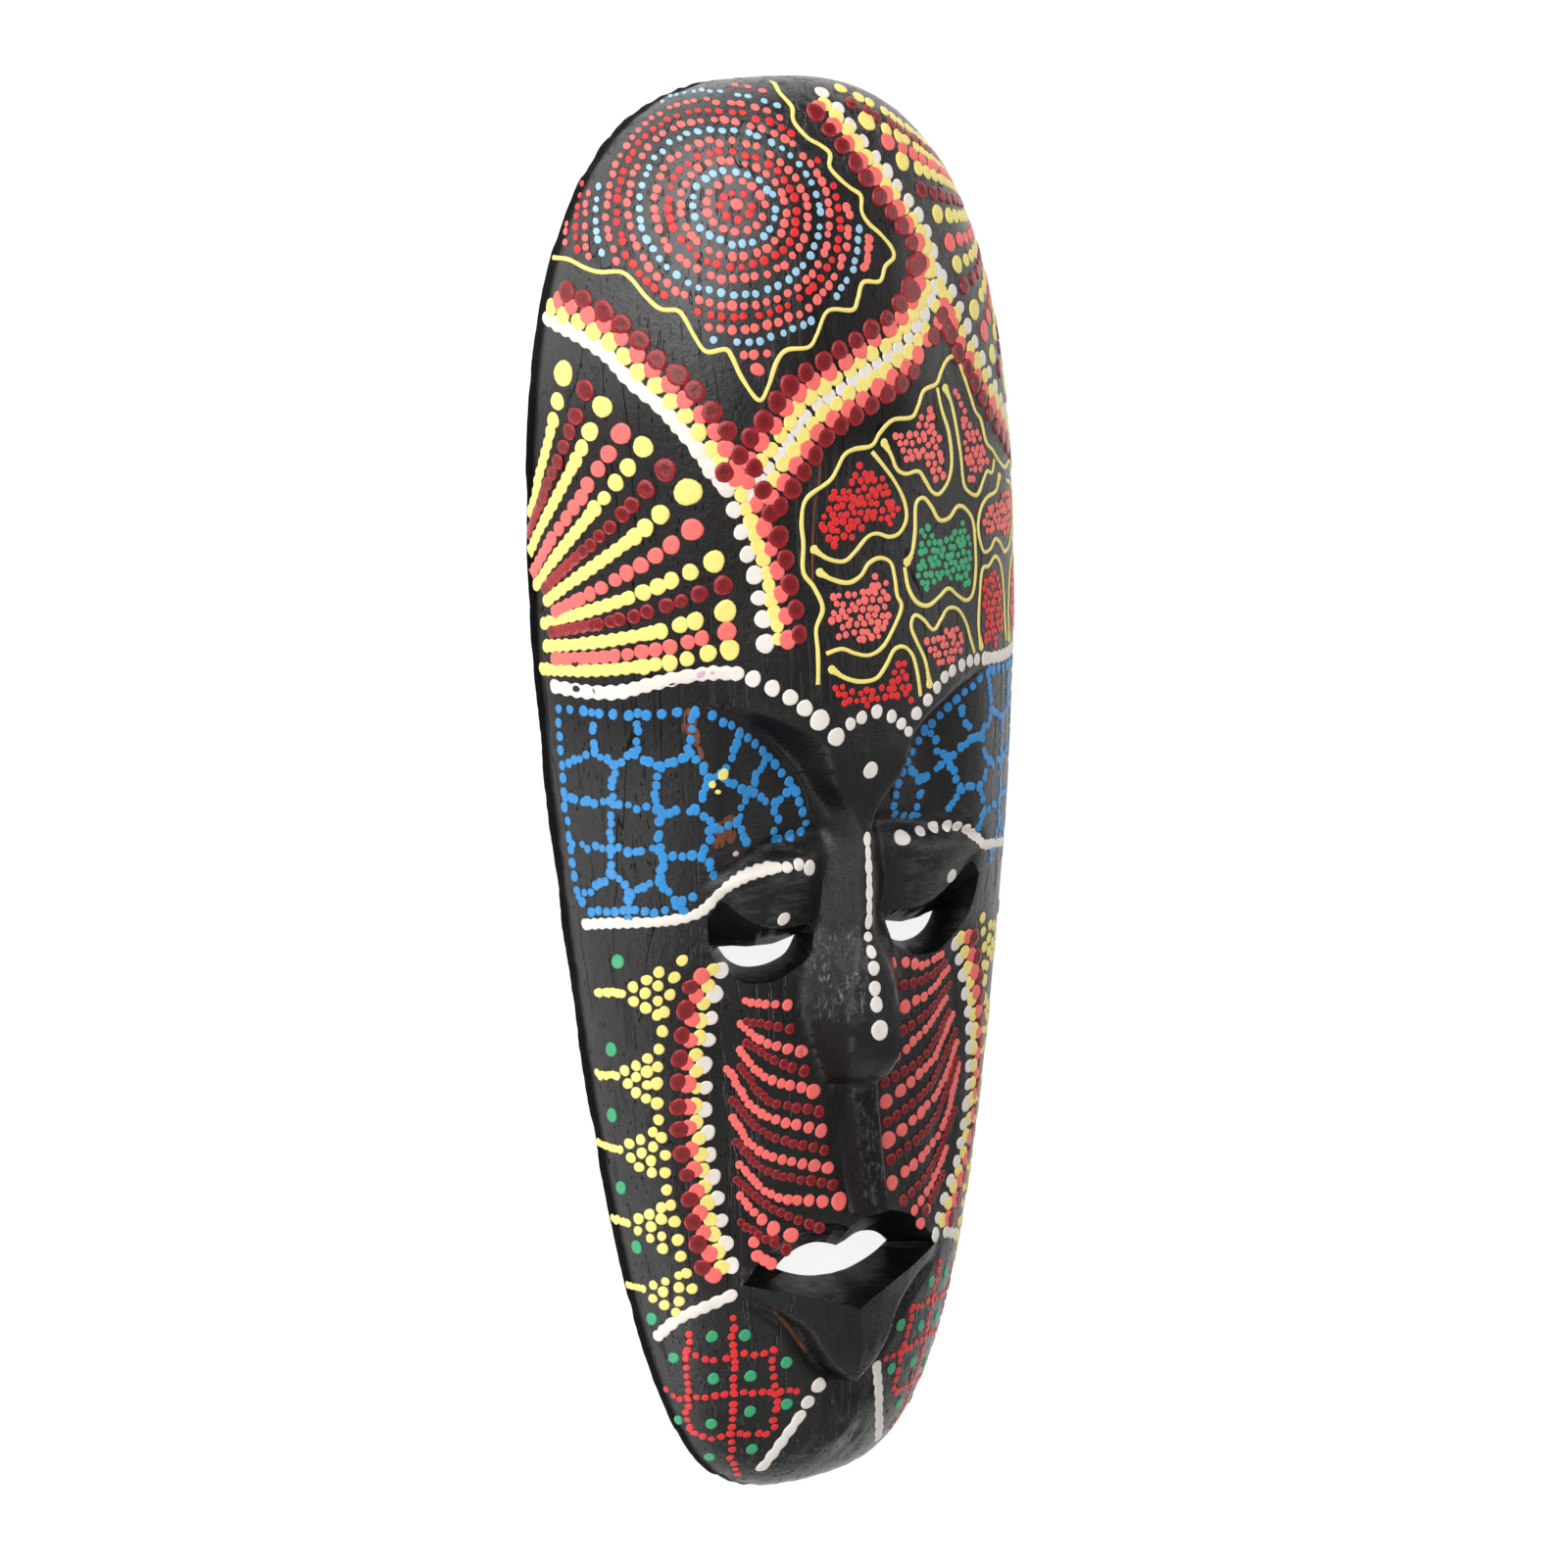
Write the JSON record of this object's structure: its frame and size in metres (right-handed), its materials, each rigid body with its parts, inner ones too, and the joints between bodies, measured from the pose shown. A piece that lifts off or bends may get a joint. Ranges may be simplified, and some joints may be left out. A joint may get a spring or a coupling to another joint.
{
  "type": "carved wooden face mask",
  "caption": "Long oval carved wooden face mask with a hollow back, closed lids over slit eyes, a long ridged nose, an open mouth and a black finish covered in painted dot patterns.",
  "frame": {"origin": "middle of the plane that the back rim lies on, under the centre of the mask's outline", "axes": "+Y along the mask from chin to crown, +Z out of the face, +X to the right of someone who looks at the face with the crown up"},
  "size_m": [0.187, 0.5, 0.0664],
  "materials": {
    "black_painted_wood": "semi-gloss black paint on open-grained wood, raw brown wood where it is worn and in the hollow back",
    "white_paint": "thick drops of satin acrylic paint",
    "yellow_paint": "thick drops of satin acrylic paint",
    "coral_paint": "thick drops of satin acrylic paint",
    "dark_red_paint": "thin translucent drops of gloss acrylic paint",
    "red_paint": "thick drops of satin acrylic paint",
    "blue_paint": "thick drops of satin acrylic paint",
    "light_blue_paint": "thin drops of satin acrylic paint",
    "green_paint": "thick drops of satin acrylic paint"
  },
  "bodies": {
    "root": {"mask": "black_painted_wood"}
  },
  "joints": []
}
